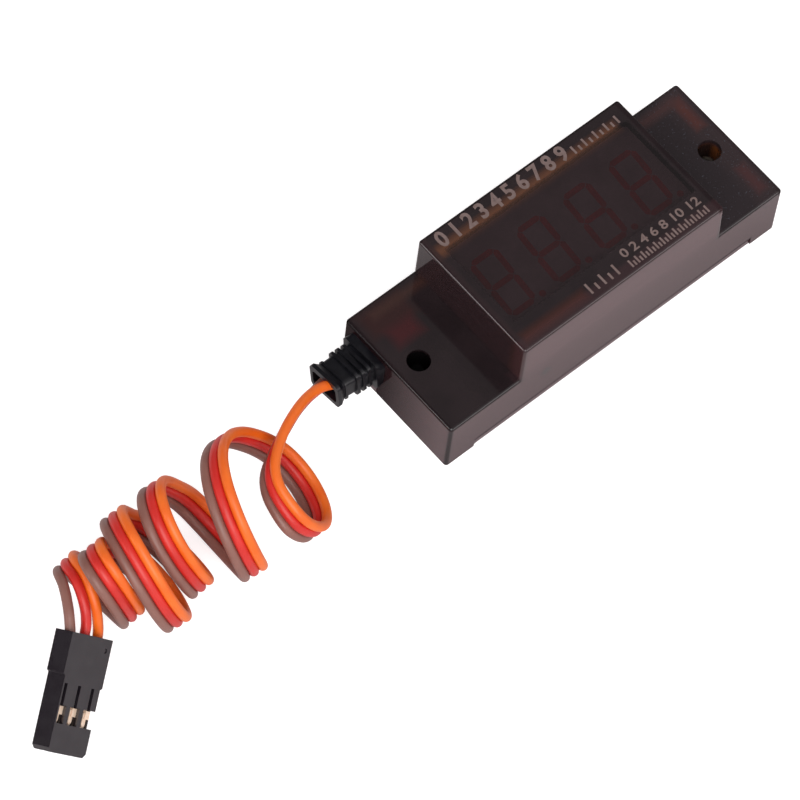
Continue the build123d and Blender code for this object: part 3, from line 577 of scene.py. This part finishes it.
def tickMarks(name, left, right, foot, count, heights, width):
    # Upright bars at even steps, each a flat block: every second one is long
    places = np.linspace(left + width / 2, right - width / 2, count)
    tall = np.where(np.arange(count) % 2 == 0, heights[0], heights[1])
    corners = np.array([(x, y, z) for z in (0, 1) for y in (0, 1) for x in (-0.5, 0.5)])
    points = np.empty((count, 8, 3))
    points[:, :, 0] = places[:, None] + corners[:, 0] * width
    points[:, :, 1] = foot + corners[:, 1] * tall[:, None]
    points[:, :, 2] = ink["top"] + corners[:, 2] * ink["thickness"]
    block = np.array([(0, 2, 3, 1), (4, 5, 7, 6), (0, 1, 5, 4), (2, 6, 7, 3), (0, 4, 6, 2), (1, 3, 7, 5)])
    faces = (block[None] + 8 * np.arange(count)[:, None, None]).reshape(-1, 4)
    mesh = bpy.data.meshes.new(name)
    mesh.from_pydata((points.reshape(-1, 3) * mm).tolist(), [], faces.tolist())
    return mesh


boldDigits, nearDigits = (printedText(*row) for row in ink["digits"])
farTicks, nearTicks, nearScale = (tickMarks(*row) for row in ink["ticks"])
printedMeshes = [boldDigits, farTicks, nearTicks, nearDigits, nearScale]
# Pad-printed warm grey ink: matt, a little uneven where it thins out
inkFinish = plainFinish("padPrintedInk", *ink["colours"], 0.4, 0.55, 1.5, 0.0, 0.003, 0.1)
for mesh in printedMeshes:
    mesh.materials.clear()
    mesh.materials.append(inkFinish)
    piece = bpy.data.objects.new(mesh.name, mesh)
    bpy.context.scene.collection.objects.link(piece)
    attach(piece, "root")
print("print made")

studio = {
    "floorSize": 3.0,
    "floorDrop": 2e-5,  # below the object, so that the two never share a plane
    "floorColour": "#e7e7e7",
    "mirroredFloor": "#c4c0c1",  # what polished faces show of it
    "floorGlow": {"Is Camera Ray": 0.6, "Is Glossy Ray": 0.12, "Is Transmission Ray": 0.3},
    "keyWay": (-0.45, -0.55, 0.70),  # towards the lamp
    "keyStrength": 2.25,
    "keySoftness": 0.9,
    "ambient": 0.54,
    "skyTint": (1, 0.95, 0.95, 1),
    "brightWay": (0.612, -0.765, -0.2),
    "bright": 1.0,
    "dark": 0.06,
    # Narrow lights that draw the fine lines on polished edges: their directions and brightness
    "edgeLights": [((-0.877, 0.324, 0.355), 5.0), ((0.355, -0.877, 0.324), 2.5)],
    "edgeWidth": (0.97, 0.99),  # cosines of the angles at which they start and are full
}


def makeFloor(spec):
    # A square sheet of pale paper just under the object, which glows a little towards the camera
    half, level = spec["floorSize"] / 2, -spec["floorDrop"]
    corners = [(-half, -half, level), (half, -half, level), (half, half, level), (-half, half, level)]
    mesh = bpy.data.meshes.new("floor")
    mesh.from_pydata(corners, [], [(0, 1, 2, 3)])
    piece = bpy.data.objects.new("floor", mesh)
    bpy.context.scene.collection.objects.link(piece)
    material, tree, output = newMaterial("whiteStudioPaper")
    path = addNode(tree, "LightPath").outputs
    colour = blend(tree, path["Is Glossy Ray"], linear(spec["floorColour"]), linear(spec["mirroredFloor"]))
    base = addNode(tree, "BsdfDiffuse", {"Color": colour})
    shine = 0.0
    for ray, share in spec["floorGlow"].items():
        shine = addNode(tree, "Math", {0: path[ray], 1: share, 2: shine}, operation="MULTIPLY_ADD").outputs[0]
    glow = addNode(tree, "Emission", {"Color": (1, 1, 1, 1), "Strength": shine})
    surface = addNode(tree, "AddShader", {0: base.outputs[0], 1: glow.outputs[0]})
    tree.links.new(surface.outputs[0], output.inputs["Surface"])
    mesh.materials.append(material)


def makeLight(spec):
    # One broad lamp above the near side's lead end, whose wide angle softens the shadows
    data = bpy.data.lights.new("keyLight", "SUN")
    data.energy = spec["keyStrength"]
    data.angle = spec["keySoftness"]
    holder = bpy.data.objects.new("keyLight", data)
    holder.rotation_euler = Vector(spec["keyWay"]).to_track_quat("Z", "Y").to_euler()
    bpy.context.scene.collection.objects.link(holder)


def makeSurroundings(spec):
    # A pale studio whose reflection is brightest towards the front right, even for what it lights, and white
    # where the camera sees it
    world = bpy.data.worlds.new("studio")
    bpy.context.scene.world = world
    world.use_nodes = True
    tree = world.node_tree
    tree.nodes.clear()
    way = addNode(tree, "TexCoord").outputs["Generated"]
    towards = addNode(tree, "VectorMath", {0: way, 1: spec["brightWay"]}, operation="DOT_PRODUCT")
    fade = {"Value": towards.outputs["Value"], 1: -0.4, 2: 1.0, 3: spec["dark"], 4: spec["bright"]}
    mirrored = addNode(tree, "MapRange", fade).outputs["Result"]
    edge, core = spec["edgeWidth"]
    for direction, strength in spec["edgeLights"]:
        near = addNode(tree, "VectorMath", {0: way, 1: direction}, operation="DOT_PRODUCT").outputs["Value"]
        spot = addNode(tree, "MapRange", {"Value": near, 1: edge, 2: core, 4: strength})
        mirrored = maths(tree, "ADD", mirrored, spot.outputs["Result"])
    path = addNode(tree, "LightPath").outputs
    lit = addNode(tree, "Mix", {0: path["Is Diffuse Ray"], 2: mirrored, 3: spec["ambient"]})
    seen = addNode(tree, "Mix", {0: path["Is Camera Ray"], 2: lit.outputs[0], 3: 1.0})
    sky = addNode(tree, "Background", {"Color": spec["skyTint"], "Strength": seen.outputs[0]})
    output = addNode(tree, "OutputWorld")
    tree.links.new(sky.outputs[0], output.inputs["Surface"])


makeFloor(studio)
makeLight(studio)
makeSurroundings(studio)
bpy.context.scene.view_settings.view_transform = "Standard"
print("studio made")
